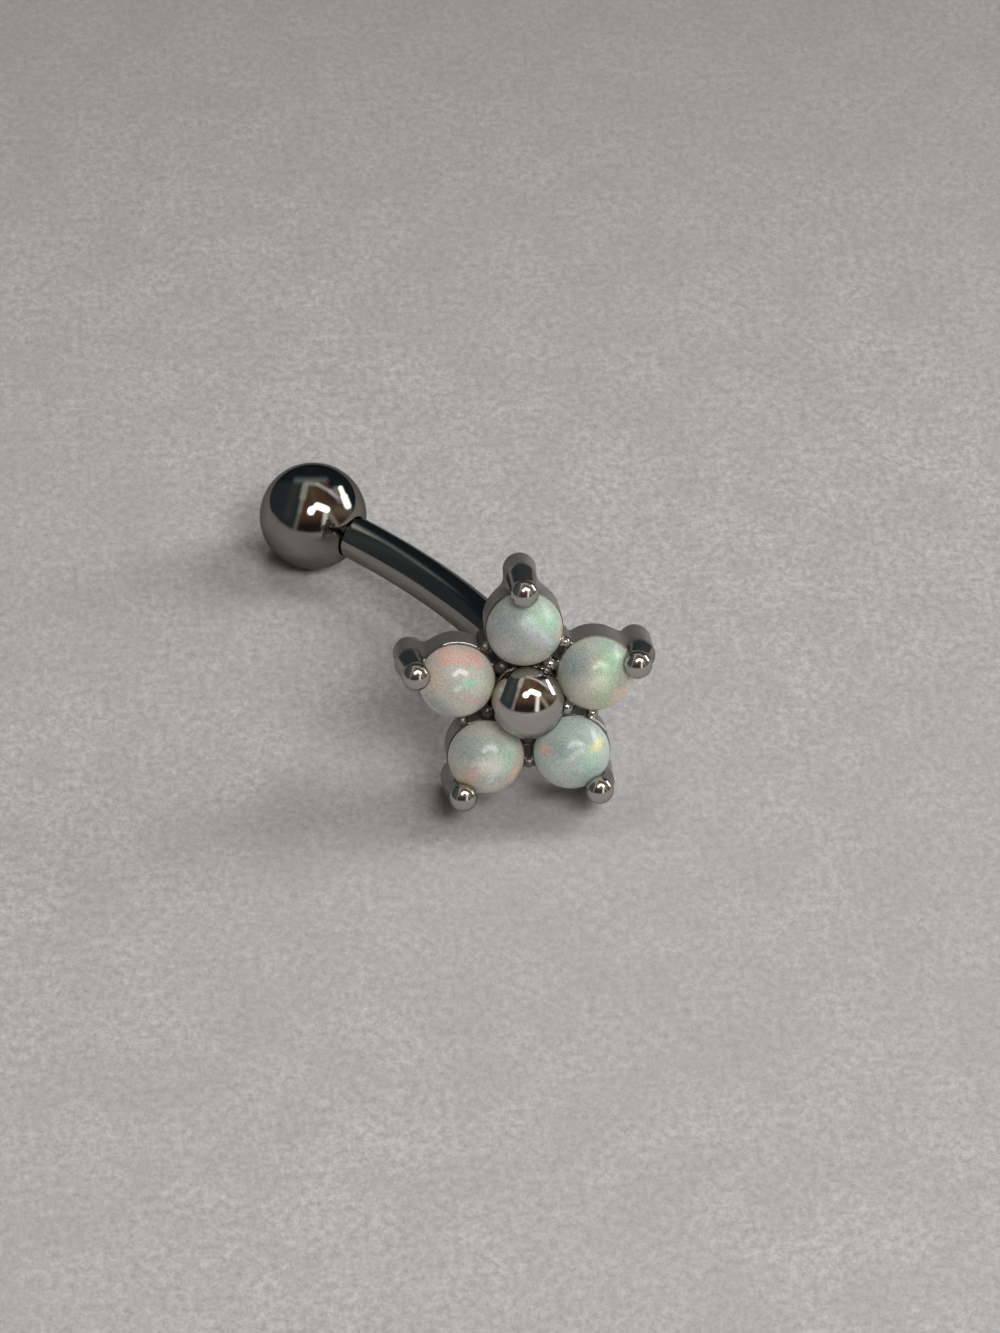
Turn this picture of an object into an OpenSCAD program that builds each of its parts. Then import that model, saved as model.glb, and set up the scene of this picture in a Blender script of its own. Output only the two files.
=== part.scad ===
// Eyebrow ring: a curved barbell with a flower of five round opals soldered to one end
// and a ball that screws on at the other. It lies as it rests by itself: on the ball and
// on the back ends of the two lower prongs, with the flower facing -Y.
// Millimetres, +Z up. The origin is on the surface, under the middle of the whole piece.

/* [Bar] */
// Diameter of the bar
bar_d = 1.2; // [1.0:0.1:1.6]
// Length of the bar along its curve, from the flower's collar to the ball
bar_length = 10; // [8:0.5:12]
// Angle that the bar bends through
bar_bend = 54; // [40:1:70]
// Way that the bar bends, as an angle round the flower's face from its right-hand side
bar_clock = 159; // [150:1:180]
// Length of the screw inside the ball
screw_length = 2.0; // [1.5:0.1:2.2]
// Outer diameter of the screw
screw_d = 1.1; // [0.8:0.05:1.1]
// Distance from one ridge of the screw to the next
screw_pitch = 0.25; // [0.2:0.05:0.4]

/* [Ball] */
// Diameter of the screw-on ball
ball_d = 3.0; // [2.8:0.1:4]
// Diameter of the flat on the ball that faces the bar
ball_flat_d = 1.26; // [1.2:0.02:1.4]
// Diameter of the hole for the screw
ball_hole_d = 1.18; // [1.16:0.01:1.2]
// Depth of the hole below the flat
ball_hole_depth = 2.25; // [2.25:0.05:2.4]
// Gap between the ball's flat and the end of the bar
seam_gap = 0.03; // [0.02:0.01:0.05]

/* [Flower] */
// Diameter of each stone
stone_d = 2.0; // [1.9:0.05:2.05]
// Height of a stone's dome above its widest line
dome_height = 0.8; // [0.5:0.05:0.95]
// Depth of a stone below its widest line
stone_depth = 0.38; // [0.3:0.02:0.45]
// Distance of the stones' centres from the middle of the flower
stone_ring_r = 1.97; // [1.95:0.01:2.0]
// Diameter of the polished bead in the middle
bead_d = 1.98; // [1.8:0.02:2.0]
// Height of the bead's centre above the stones' widest line
bead_rise = 0.38; // [0.3:0.02:0.6]

/* [Cups] */
// Wall of the cup that each stone sits in
cup_wall = 0.06; // [0.05:0.01:0.08]
// Gap between a stone and the metal round it
stone_gap = 0.02; // [0.015:0.005:0.03]
// Depth of a cup behind the stone's widest line
cup_depth = 1.15; // [1.0:0.05:1.25]
// Height of a cup's rim above the stone's widest line
cup_rim = 0.02; // [0.0:0.01:0.06]

/* [Prongs] */
// Radius of the bead at a prong's tip
tip_r = 0.38; // [0.34:0.01:0.42]
// Radius of the rounded end at the back of a prong
root_r = 0.45; // [0.4:0.01:0.5]
// Distance of a prong's tip from the flower's axis
tip_out = 3.13; // [3.1:0.01:3.2]
// Distance of a prong's back end from the flower's axis
root_out = 3.2; // [3.15:0.01:3.3]
// Height of the tip's centre above the stone's widest line
tip_height = 0.53; // [0.45:0.01:0.6]
// Depth of the back end's centre behind the stone's widest line
root_depth = 1.42; // [1.3:0.02:1.5]

/* [Hidden] */
$fn = 64;

steel = [0.62, 0.62, 0.62];
opal = [0.86, 0.90, 0.88];

// A cut runs past the face that it opens by this much
past = 1;

// The flower is drawn facing +Z, with its middle at the origin and its top stone at +Y
stones = 5;
bar_r = bar_d / 2;
ball_r = ball_d / 2;
stone_r = stone_d / 2;
bead_r = bead_d / 2;
stone_step = 360 / stones;
dome_r = (stone_r ^ 2 + dome_height ^ 2) / (2 * dome_height);
pocket_r = stone_r + stone_gap;
cup_r = pocket_r + cup_wall;
rim_r = 0.04;

// The middle column carries the cups and the bead, and its collar carries the bar
column_r = 0.94;
column_depth = 1.3;
collar_depth = 1.6;
collar_end_r = bar_r + 0.03;
collar_overlap = 0.05;
bar_start = 1.5;

// Small posts join neighbouring cups, inside and outside the slot between them
inner_post_out = 1.12;
inner_post_r = 0.2;
outer_post_out = 1.85;
outer_post_r = 0.14;
post_drop = 0.06;
post_head = 0.01;

// A thin ledge carries each stone, and the cup is open behind it
ledge_r = 0.78;
ledge_thickness = 0.15;
gallery_r = pocket_r - 0.06;

// A prong's wire is a little thinner than its two rounded ends
wire_thinning = 0.02;

bend_r = bar_length / (bar_bend * PI / 180);

// The screw's ridges: how deep they are cut, how far from the end they start, the shares of
// the pitch where their tops begin and end, and the taper and the overlap at the two ends
ridge_depth = 0.09;
ridge_start = 0.12;
ridge_shares = [0.4, 0.6];
screw_taper = 0.1;
screw_overlap = 0.1;
screw_core_r = screw_d / 2 - ridge_depth;
ball_flat_depth = sqrt(ball_r ^ 2 - (ball_flat_d / 2) ^ 2);

// Directions and places in the flower's own frame
function stone_angle(i) = 90 - stone_step * i;
function spoke(angle, out, height) = [out * cos(angle), out * sin(angle), height];
bend_way = spoke(bar_clock, 1, 0);
screw_way = bend_way * sin(bar_bend) - [0, 0, cos(bar_bend)];
bar_end = bend_way * bend_r * (1 - cos(bar_bend))
    - [0, 0, bar_start + bend_r * sin(bar_bend)];
ball_centre = bar_end + screw_way * (seam_gap + ball_flat_depth);
right_foot = spoke(stone_angle(2), root_out, -root_depth);
left_foot = spoke(stone_angle(3), root_out, -root_depth);

// The surface touches the ball and the back ends of the two lower prongs: its upward
// direction is the unit vector whose height over the three centres differs by their radii
foot_step = right_foot - left_foot;
ball_step = ball_centre - left_foot;
ball_lift = ball_r - root_r;
steps_dot = foot_step * ball_step;
steps_det = (foot_step * foot_step) * (ball_step * ball_step) - steps_dot ^ 2;
in_steps = (-foot_step * steps_dot + ball_step * (foot_step * foot_step))
    * ball_lift / steps_det;
across = cross(foot_step, ball_step) / norm(cross(foot_step, ball_step));
out_of_steps = sqrt(1 - in_steps * in_steps);
up_way = in_steps + across * out_of_steps * sign(across[1]);

// The turn that stands that direction upright, and then faces the flower to -Y
tilt_axis = cross(up_way, [0, 0, 1]) / norm(cross(up_way, [0, 0, 1]));
tilt_angle = acos(up_way[2]);
function tilted(p) = p * cos(tilt_angle) + cross(tilt_axis, p) * sin(tilt_angle)
    + tilt_axis * (tilt_axis * p) * (1 - cos(tilt_angle));
face_way = tilted([0, 0, 1]);
heading = -90 - atan2(face_way[1], face_way[0]);
function headed(p) = [p[0] * cos(heading) - p[1] * sin(heading),
                      p[0] * sin(heading) + p[1] * cos(heading), p[2]];
function laid(p) = headed(tilted(p));

// The middle of the box that the ball and the prongs' ends span
ends = concat([[laid(ball_centre), ball_r]],
    [for (i = [0 : stones - 1]) [laid(spoke(stone_angle(i), tip_out, tip_height)), tip_r]],
    [for (i = [0 : stones - 1]) [laid(spoke(stone_angle(i), root_out, -root_depth)), root_r]]);
function low(axis) = min([for (e = ends) e[0][axis] - e[1]]);
function high(axis) = max([for (e = ends) e[0][axis] + e[1]]);
middle = [(low(0) + high(0)) / 2, (low(1) + high(1)) / 2, low(2)];

// Puts what is drawn in the flower's frame on the surface as it rests
module lie_down() {
    translate(-middle)
        rotate([0, 0, heading])
            rotate(a = tilt_angle, v = tilt_axis)
                children();
}

// Places its children at the end of the bar, with +Z along the screw
module at_bar_end() {
    translate(bar_end)
        rotate([0, 0, bar_clock])
            rotate([0, 180 - bar_bend, 0])
                children();
}

// Places its children at the centre of one stone
module at_stone(i) {
    rotate([0, 0, stone_angle(i)])
        translate([stone_ring_r, 0, 0])
            children();
}

// A round stone with a domed front and a flat back, grown all round by a gap
module cabochon(gap = 0) {
    intersection() {
        translate([0, 0, -stone_depth - gap])
            cylinder(r = stone_r + gap, h = stone_depth + dome_height + 2 * gap);
        translate([0, 0, dome_height - dome_r])
            sphere(r = dome_r + gap);
    }
}

// One cup, open at the back behind its ledge, with a rounded rim
module cup() {
    ledge_top = -stone_depth - stone_gap;
    difference() {
        translate([0, 0, -cup_depth])
            cylinder(r = cup_r, h = cup_depth + cup_rim);
        translate([0, 0, -cup_depth - past])
            cylinder(r = ledge_r, h = cup_depth + past);
        translate([0, 0, -cup_depth - past])
            cylinder(r = gallery_r, h = cup_depth + past + ledge_top - ledge_thickness);
    }
    translate([0, 0, cup_rim])
        rotate_extrude()
            translate([pocket_r + cup_wall / 2, 0])
                circle(r = rim_r, $fn = 24);
}

// One prong: a tapered wire with a rounded back end and a beaded tip
module prong() {
    lean = atan2(tip_out - root_out, tip_height + root_depth);
    wire_length = norm([tip_out - root_out, tip_height + root_depth]);
    translate([root_out - stone_ring_r, 0, -root_depth]) {
        sphere(r = root_r);
        rotate([0, lean, 0]) {
            cylinder(r1 = root_r - wire_thinning, r2 = tip_r - wire_thinning, h = wire_length);
            translate([0, 0, wire_length])
                sphere(r = tip_r);
        }
    }
}

// A short post with a round head, in the notch between two cups
module notch_post(i, out, r) {
    height = cup_depth - post_drop;
    rotate([0, 0, stone_angle(i + 0.5)])
        translate([out, 0, -cup_depth]) {
            cylinder(r = r, h = height);
            translate([0, 0, height])
                sphere(r = r + post_head);
        }
}

// The column in the middle, its bead in front and its collar behind
module flower_middle() {
    translate([0, 0, -column_depth])
        cylinder(r = column_r, h = column_depth + bead_rise / 2);
    translate([0, 0, bead_rise])
        sphere(r = bead_r);
    translate([0, 0, -collar_depth])
        cylinder(r1 = collar_end_r, r2 = column_r, h = collar_depth - column_depth
            + collar_overlap);
}

// The bent bar, from inside the collar to the ball's flat
module bent_bar() {
    rotate([0, 0, bar_clock])
        translate([bend_r, 0, -bar_start])
            rotate([90, 180, 0])
                rotate_extrude(angle = bar_bend, $fn = 128)
                    translate([bend_r, 0])
                        circle(r = bar_r);
}

// The screw that the ball turns on: its ridges are rings of the screw's size
module screw() {
    ridges = floor((screw_length - ridge_start - screw_taper) / screw_pitch);
    ridge = [[0, screw_core_r], [ridge_shares[0], screw_d / 2], [ridge_shares[1], screw_d / 2]];
    profile = concat([[0, -screw_overlap], [screw_core_r, -screw_overlap]],
        [for (k = [0 : ridges - 1], p = ridge) [p[1], ridge_start + (k + p[0]) * screw_pitch]],
        [[screw_core_r, ridge_start + ridges * screw_pitch],
         [screw_core_r, screw_length - screw_taper],
         [screw_core_r - screw_taper, screw_length], [0, screw_length]]);
    at_bar_end()
        rotate_extrude()
            polygon(profile);
}

// The flower, the bar and the screw are soldered into one solid
module flower_barbell() {
    color(steel)
        lie_down() {
            difference() {
                union() {
                    for (i = [0 : stones - 1]) {
                        at_stone(i)
                            cup();
                        at_stone(i)
                            prong();
                        notch_post(i, inner_post_out, inner_post_r);
                        notch_post(i, outer_post_out, outer_post_r);
                    }
                    flower_middle();
                }
                for (i = [0 : stones - 1])
                    at_stone(i)
                        cabochon(stone_gap);
            }
            bent_bar();
            screw();
        }
}

// The ball, with its flat and a plain hole where the screw turns
module screw_ball() {
    color(steel)
        lie_down()
            at_bar_end()
                translate([0, 0, seam_gap])
                    difference() {
                        translate([0, 0, ball_flat_depth])
                            sphere(r = ball_r);
                        translate([-ball_r, -ball_r, -ball_r])
                            cube([ball_d, ball_d, ball_r]);
                        translate([0, 0, -past])
                            cylinder(d = ball_hole_d, h = ball_hole_depth + past);
                    }
}

// One opal in its cup, counted clockwise from the top of the flower
module opal_stone(i) {
    color(opal)
        lie_down()
            at_stone(i)
                cabochon();
}

flower_barbell();
screw_ball();
opal_stone(0);  // opal_top
opal_stone(1);  // opal_right
opal_stone(2);  // opal_lower_right
opal_stone(3);  // opal_lower_left
opal_stone(4);  // opal_left
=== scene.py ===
# Eyebrow ring: a bent steel barbell with a flower of five opals, lying on pale paper.
# The named sizes are millimetres. Meshes are in metres, in the frame's own axes.
import math

import bpy
import numpy as np
from mathutils import Matrix, Vector


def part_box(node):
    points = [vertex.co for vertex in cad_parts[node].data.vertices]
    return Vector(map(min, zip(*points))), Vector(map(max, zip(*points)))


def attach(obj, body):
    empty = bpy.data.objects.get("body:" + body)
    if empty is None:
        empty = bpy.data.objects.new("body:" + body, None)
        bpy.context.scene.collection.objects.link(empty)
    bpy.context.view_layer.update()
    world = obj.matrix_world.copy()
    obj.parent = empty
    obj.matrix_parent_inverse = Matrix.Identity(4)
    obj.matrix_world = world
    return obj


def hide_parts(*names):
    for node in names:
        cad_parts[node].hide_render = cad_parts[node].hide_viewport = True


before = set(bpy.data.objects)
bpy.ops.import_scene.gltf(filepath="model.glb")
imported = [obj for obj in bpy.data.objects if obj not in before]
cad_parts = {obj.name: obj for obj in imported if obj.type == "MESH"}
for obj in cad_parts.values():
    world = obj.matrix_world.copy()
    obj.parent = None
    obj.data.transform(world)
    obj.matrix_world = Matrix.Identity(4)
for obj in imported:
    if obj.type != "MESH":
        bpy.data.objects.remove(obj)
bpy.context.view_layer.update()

MM = 0.001

# Stones
STONE_NODES = ["opal_top", "opal_right", "opal_lower_right", "opal_lower_left", "opal_left"]
STONE_STEP = 360 / len(STONE_NODES)
STONE_R = 1.0
DOME_HEIGHT = 0.8
DOME_R = (STONE_R ** 2 + DOME_HEIGHT ** 2) / (2 * DOME_HEIGHT)
DOME_DROP = DOME_R - DOME_HEIGHT
STONE_DEPTH = 0.38
STONE_GAP = 0.02
GIRDLE_R = 0.94

# The stones' domes, as they spread over the cups' rims
SPREAD_R = 1.03
SPREAD_EDGE = 0.06
SPREAD_DOME_R = (SPREAD_R ** 2 + DOME_HEIGHT ** 2) / (2 * DOME_HEIGHT)
SPREAD_DROP = SPREAD_DOME_R - DOME_HEIGHT

# Cups
RING_R = 1.97
CUP_WALL = 0.09
CUP_DEPTH = 1.15
CUP_RIM = -0.13
RIM_R = 0.045
POCKET_R = GIRDLE_R + STONE_GAP
LEDGE_R = 0.78
LEDGE_THICKNESS = 0.15
GALLERY_LIP = 0.06
GALLERY_R = POCKET_R - GALLERY_LIP

# Lips of metal rubbed bright over two rims, and how they fade at their ends, in degrees
LIP_RING_R = 1.085
LIP_R = 0.043
LIP_DROP = 0.02
LIP_FOOT_DROP = 0.03
LIP_SINK = 0.1
LIP_FADE_OUTSIDE = 8
LIP_FADE_INSIDE = 4

# Middle
BEAD_R = 0.99
BEAD_RISE = 0.38
BEAD_FLATNESS = 0.8
COLUMN_R = 0.94
COLUMN_DEPTH = 1.3
COLLAR_DEPTH = 1.6
COLLAR_END_R = 0.63

# Prongs and the small posts between the cups
TIP_R = 0.38
TIP_FLATNESS = 0.72
TIP_OUT = 3.13
TIP_HEIGHT = 0.53
ROOT_R = 0.45
ROOT_OUT = 3.2
ROOT_DEPTH = 1.42
SHOULDER_R = 0.395
SHOULDER_OUT = 3.27
SHOULDER_DEPTHS = (0.42, 0.16, 0.42, 0.42, 0.42)
WIRE_THINNING = 0.02
WIRE_SHORTENING = 0.13
POST_DROP = 0.15
POST_SPREAD = 0.01

# Each post's distance out along its notch, and its radius
INNER_POST = (1.12, 0.2)
OUTER_POST = (1.85, 0.14)

# How far two parts of the casting run together where they meet
RIM_MELT = 0.03
TIP_MELT = 0.05
CUP_MELT = 0.05
POST_MELT = 0.12
LIP_MELT = 0.04
POCKET_MELT = 0.015
FACE_SOLDER = 0.1
BACK_SOLDER = 0.28
SOLDER_FROM = -0.25
SOLDER_TO = -0.8

# Bar, screw and ball
BAR_R = 0.6
BAR_LENGTH = 10
BAR_BEND = math.radians(54)
BAR_CLOCK = math.radians(159)
BAR_START = 1.5
BEND_R = BAR_LENGTH / BAR_BEND
BAR_EDGE = 0.03
SCREW_LENGTH = 2.0
SCREW_R = 0.55
SCREW_CORE_R = 0.46
SCREW_PITCH = 0.25
SCREW_ROOT = 0.05
SCREW_ROOT_R = SCREW_CORE_R - 0.06
SCREW_POINT = 0.1
THREAD_START = 0.12
THREAD_RUN_IN = 0.12
THREAD_RUN_OUT = 0.15
THREAD_FLANK = 0.36
THREAD_FLOOR = 0.12
BALL_R = 1.5
BALL_FLAT_R = 0.63
BALL_HOLE_R = 0.59
BALL_HOLE_DEPTH = 2.25
BALL_FLAT_DEPTH = math.sqrt(BALL_R ** 2 - BALL_FLAT_R ** 2)
DRILL_POINT = 0.08
DRILL_SHOULDER = 0.1
GROOVES = 8
GROOVE_MIDDLE = 0.3
GROOVE_HALF = 0.06
GROOVE_DEPTH = 0.03
HOLE_EDGE = 0.018
SEAM_GAP = 0.03

# Camera, as the photograph was taken
VIEW_AZIMUTH = math.radians(-4.11)
VIEW_ELEVATION = math.radians(38.74)
VIEW_ROLL = math.radians(-0.55)
VIEW_DISTANCE = 226.7
VIEW_AIM = (0.893, -4.743, 4.048)
VIEW_LENS = 227.98

# The paper: its mesh's lines to the sides and the front, and its far edge
SHEET_LINES = (60, 300, 900)
SHEET_EDGE = 46


def unit(vector):
    """The direction of a vector."""
    vector = np.asarray(vector, float)
    return vector / np.linalg.norm(vector)


def dome_middle(node):
    """Centre of a stone's dome: the dome alone reaches the front and the top of its box."""
    low, high = (np.array(corner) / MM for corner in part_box(node))
    return np.array([(low[0] + high[0]) / 2, low[1] + DOME_R, high[2] - DOME_R])


def flower_frame():
    """The flower's middle, and its right, up and front directions."""
    domes = np.array([dome_middle(node) for node in STONE_NODES])
    up = unit(domes[0] - domes.mean(0))
    right = unit(domes[1] - domes[4])
    front = np.cross(right, up)
    return domes.mean(0) + front * DOME_DROP, right, up, front


MIDDLE, RIGHT, UP, FRONT = flower_frame()
FLOWER_AXES = np.array([RIGHT, UP, FRONT])
BEND_WAY = math.cos(BAR_CLOCK) * RIGHT + math.sin(BAR_CLOCK) * UP


def stone_angle(place):
    """Angle of a stone, or of the notch after it, round the flower's face."""
    return math.radians(90 - STONE_STEP * place)


def spoke(place, out, height=0.0):
    """A point in the flower's own frame, outwards along one stone or notch."""
    angle = stone_angle(place)
    return np.array([out * math.cos(angle), out * math.sin(angle), height])


def bar_point(turn):
    """A point on the bar's middle line, and its direction there."""
    place = (MIDDLE + BEND_WAY * BEND_R * (1 - math.cos(turn))
             - FRONT * (BAR_START + BEND_R * math.sin(turn)))
    return place, BEND_WAY * math.sin(turn) - FRONT * math.cos(turn)


BAR_END, SCREW_WAY = bar_point(BAR_BEND)
BEND_AXIS = np.cross(BEND_WAY, FRONT)


# Shader benches

class Wire:
    """A node's output, so that shader maths can be written as Python expressions."""

    def __init__(self, bench, socket):
        self.bench = bench
        self.socket = socket

    def maths(self, operation, *values):
        return self.bench.make("ShaderNodeMath", {"operation": operation}, dict(enumerate(values)))

    def __add__(self, other):
        return self.maths("ADD", self, other)

    def __sub__(self, other):
        return self.maths("SUBTRACT", self, other)

    def __rsub__(self, other):
        return self.maths("SUBTRACT", other, self)

    def __mul__(self, other):
        return self.maths("MULTIPLY", self, other)

    def __truediv__(self, other):
        return self.maths("DIVIDE", self, other)

    def __pow__(self, other):
        return self.maths("POWER", self, other)

    __radd__ = __add__
    __rmul__ = __mul__

    def least(self, other):
        return self.maths("MINIMUM", self, other)

    def most(self, other):
        return self.maths("MAXIMUM", self, other)

    def size(self):
        return self.maths("ABSOLUTE", self)

    def root(self):
        return self.maths("SQRT", self)

    def step(self, start, end):
        """0 before start and 1 after end, or the other way round, with a soft ramp between."""
        return self.bench.make("ShaderNodeMapRange", {"interpolation_type": "SMOOTHSTEP"}, {
            "Value": self, "From Min": start, "From Max": end, "To Min": 0.0, "To Max": 1.0})


class Bench:
    """Makes the nodes of one material or world."""

    def __init__(self, tree):
        self.tree = tree
        tree.nodes.clear()

    def make(self, kind, settings=None, sockets=None, out=0):
        """Adds a node from its kind, its settings and the values or links of its sockets."""
        node = self.tree.nodes.new(kind)
        for name, value in (settings or {}).items():
            setattr(node, name, value)
        for name, value in (sockets or {}).items():
            if isinstance(value, Wire):
                self.tree.links.new(value.socket, node.inputs[name])
            else:
                node.inputs[name].default_value = value
        return Wire(self, node.outputs[out]) if len(node.outputs) else node

    def vector(self, operation, *values, out=0):
        return self.make("ShaderNodeVectorMath", {"operation": operation},
                         dict(enumerate(values)), out)

    def dot(self, one, other):
        return self.vector("DOT_PRODUCT", one, other, out="Value")

    def parts(self, vector):
        return [self.make("ShaderNodeSeparateXYZ", {}, {0: vector}, out) for out in (0, 1, 2)]

    def place(self):
        """The point in the piece's own axes, in millimetres."""
        here = self.make("ShaderNodeTexCoord", {}, {}, "Object")
        return self.vector("MULTIPLY", here, (1 / MM,) * 3)

    def noise(self, where, scale, detail=3.0, roughness=0.5, out="Fac"):
        return self.make("ShaderNodeTexNoise", {}, {
            "Vector": where, "Scale": scale, "Detail": detail, "Roughness": roughness}, out)

    def cover(self, under, over, mask):
        """One colour laid over another where the mask is 1."""
        colours = [opaque(c) if not isinstance(c, Wire) else c for c in (under, over)]
        return self.make("ShaderNodeMix", {"data_type": "RGBA"},
                         {0: mask, 6: colours[0], 7: colours[1]}, 2)

    def bump(self, height, strength, depth):
        return self.make("ShaderNodeBump", {}, {
            "Height": height, "Strength": strength, "Distance": depth * MM})


def opaque(colour):
    """A colour of three numbers with its fourth."""
    return (*colour[:3], 1.0)


def shown(red, green, blue):
    """A colour as a screen shows it, from 0 to 255, as the light that the shaders work in."""
    def light(value):
        value /= 255
        return value / 12.92 if value <= 0.04045 else ((value + 0.055) / 1.055) ** 2.4
    return tuple(light(value) for value in (red, green, blue))


def finish_of(name, make_surface):
    """A material whose surface one function makes on a new bench."""
    material = bpy.data.materials.new(name)
    material.use_nodes = True
    bench = Bench(material.node_tree)
    surface = make_surface(bench)
    bench.make("ShaderNodeOutputMaterial", {}, {"Surface": surface})
    return material


# Finishes. Noise is given as its place, scale, detail and roughness, and a bump as its height,
# strength and depth in millimetres.

STEEL = (0.30, 0.285, 0.265)
STEEL_DULL = (0.24, 0.226, 0.208)
CAST = (0.50, 0.475, 0.445)
CAST_DULL = (0.40, 0.376, 0.346)
CAST_SATIN = (0.46, 0.44, 0.42)
# Painted shade, laid on the metal in the gaps round the stones and on the posts of the dull notches
CAST_PAINTED_SHADE = (0.075, 0.06, 0.052)
STEEL_EDGE = (0.45, 0.43, 0.42, 1.0)


def steel_finish(name):
    """Polished steel: faint waves from the polishing wheel, fine hairlines and dull smears."""
    def surface(bench):
        here = bench.place()
        smears = bench.noise(here, 0.9, 4.0, 0.6).step(0.42, 0.72)
        hairs = bench.noise(bench.vector("MULTIPLY", here, (1.0, 9.0, 2.0)), 5.0, 4.0, 0.7)
        waves = bench.noise(here, 2.2, 2.0)
        tone = bench.cover(STEEL, STEEL_DULL, smears * 0.45)
        rough = 0.065 + smears * 0.05 + (hairs - 0.5).size() * 0.06
        height = waves + hairs * 0.05
        return bench.make("ShaderNodeBsdfPrincipled", {}, {
            "Base Color": tone, "Metallic": 1.0, "Roughness": rough, "Specular Tint": STEEL_EDGE,
            "Normal": bench.bump(height, 0.5, 0.004)})
    return finish_of(name, surface)


def cast_finish(name):
    """The cast flower: polished on its bead and tips, satin elsewhere, with painted shade round the
    stones.
    """
    def surface(bench):
        here = bench.place()
        polish, painted_gap_shade = (bench.make("ShaderNodeAttribute", {"attribute_name": layer}, {}, "Fac")
                        for layer in ("polish", "painted_gap_shade"))
        smears = bench.noise(here, 1.4, 4.0, 0.6).step(0.4, 0.7)
        pits = bench.noise(here, 7.0, 3.0, 0.6)
        waves = bench.noise(here, 2.4, 2.0)
        satin = 1 - polish
        tone = bench.cover(CAST, CAST_DULL, smears * 0.3)
        tone = bench.cover(tone, CAST_SATIN, satin)
        # Painted shade laid over the metal in the gaps round the stones
        tone = bench.cover(tone, CAST_PAINTED_SHADE, painted_gap_shade)
        rough = 0.05 + satin * 0.3 + smears * 0.03 + (pits - 0.5).size() * satin * 0.2
        height = waves * 0.6 + pits * (0.03 + satin * 0.3)
        return bench.make("ShaderNodeBsdfPrincipled", {}, {
            "Base Color": tone, "Metallic": 1 - satin * 0.24, "Roughness": rough,
            "Specular Tint": STEEL_EDGE, "Normal": bench.bump(height, 0.6, 0.009)})
    return finish_of(name, surface)


MINT = shown(160, 208, 178)
GREEN = shown(156, 200, 142)
TEAL = shown(124, 166, 160)
SLATE = shown(124, 144, 148)
SKY = shown(192, 210, 214)
LILAC = shown(184, 174, 192)
PINK = shown(206, 164, 156)
SALMON = shown(232, 172, 154)
PEACH = shown(220, 186, 158)
LEMON = shown(232, 226, 156)
CREAM = shown(208, 200, 180)
# A painted highlight: the soft pale patch laid in the middle of some stones
PAINTED_HIGHLIGHT = shown(232, 232, 218)
WHITE = shown(236, 236, 228)
SHADE = shown(84, 94, 88)

# The milk of each opal.
MILKS = {
    "opal_top": shown(156, 164, 157), "opal_right": shown(173, 178, 161),
    "opal_lower_right": shown(174, 194, 187), "opal_lower_left": shown(183, 179, 170),
    "opal_left": shown(194, 190, 180),
}

# How dull the polish of each opal is.
DULLNESS = {"opal_top": 0.3, "opal_right": 0.22, "opal_lower_right": 0.2,
            "opal_lower_left": 0.2, "opal_left": 0.12}
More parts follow.
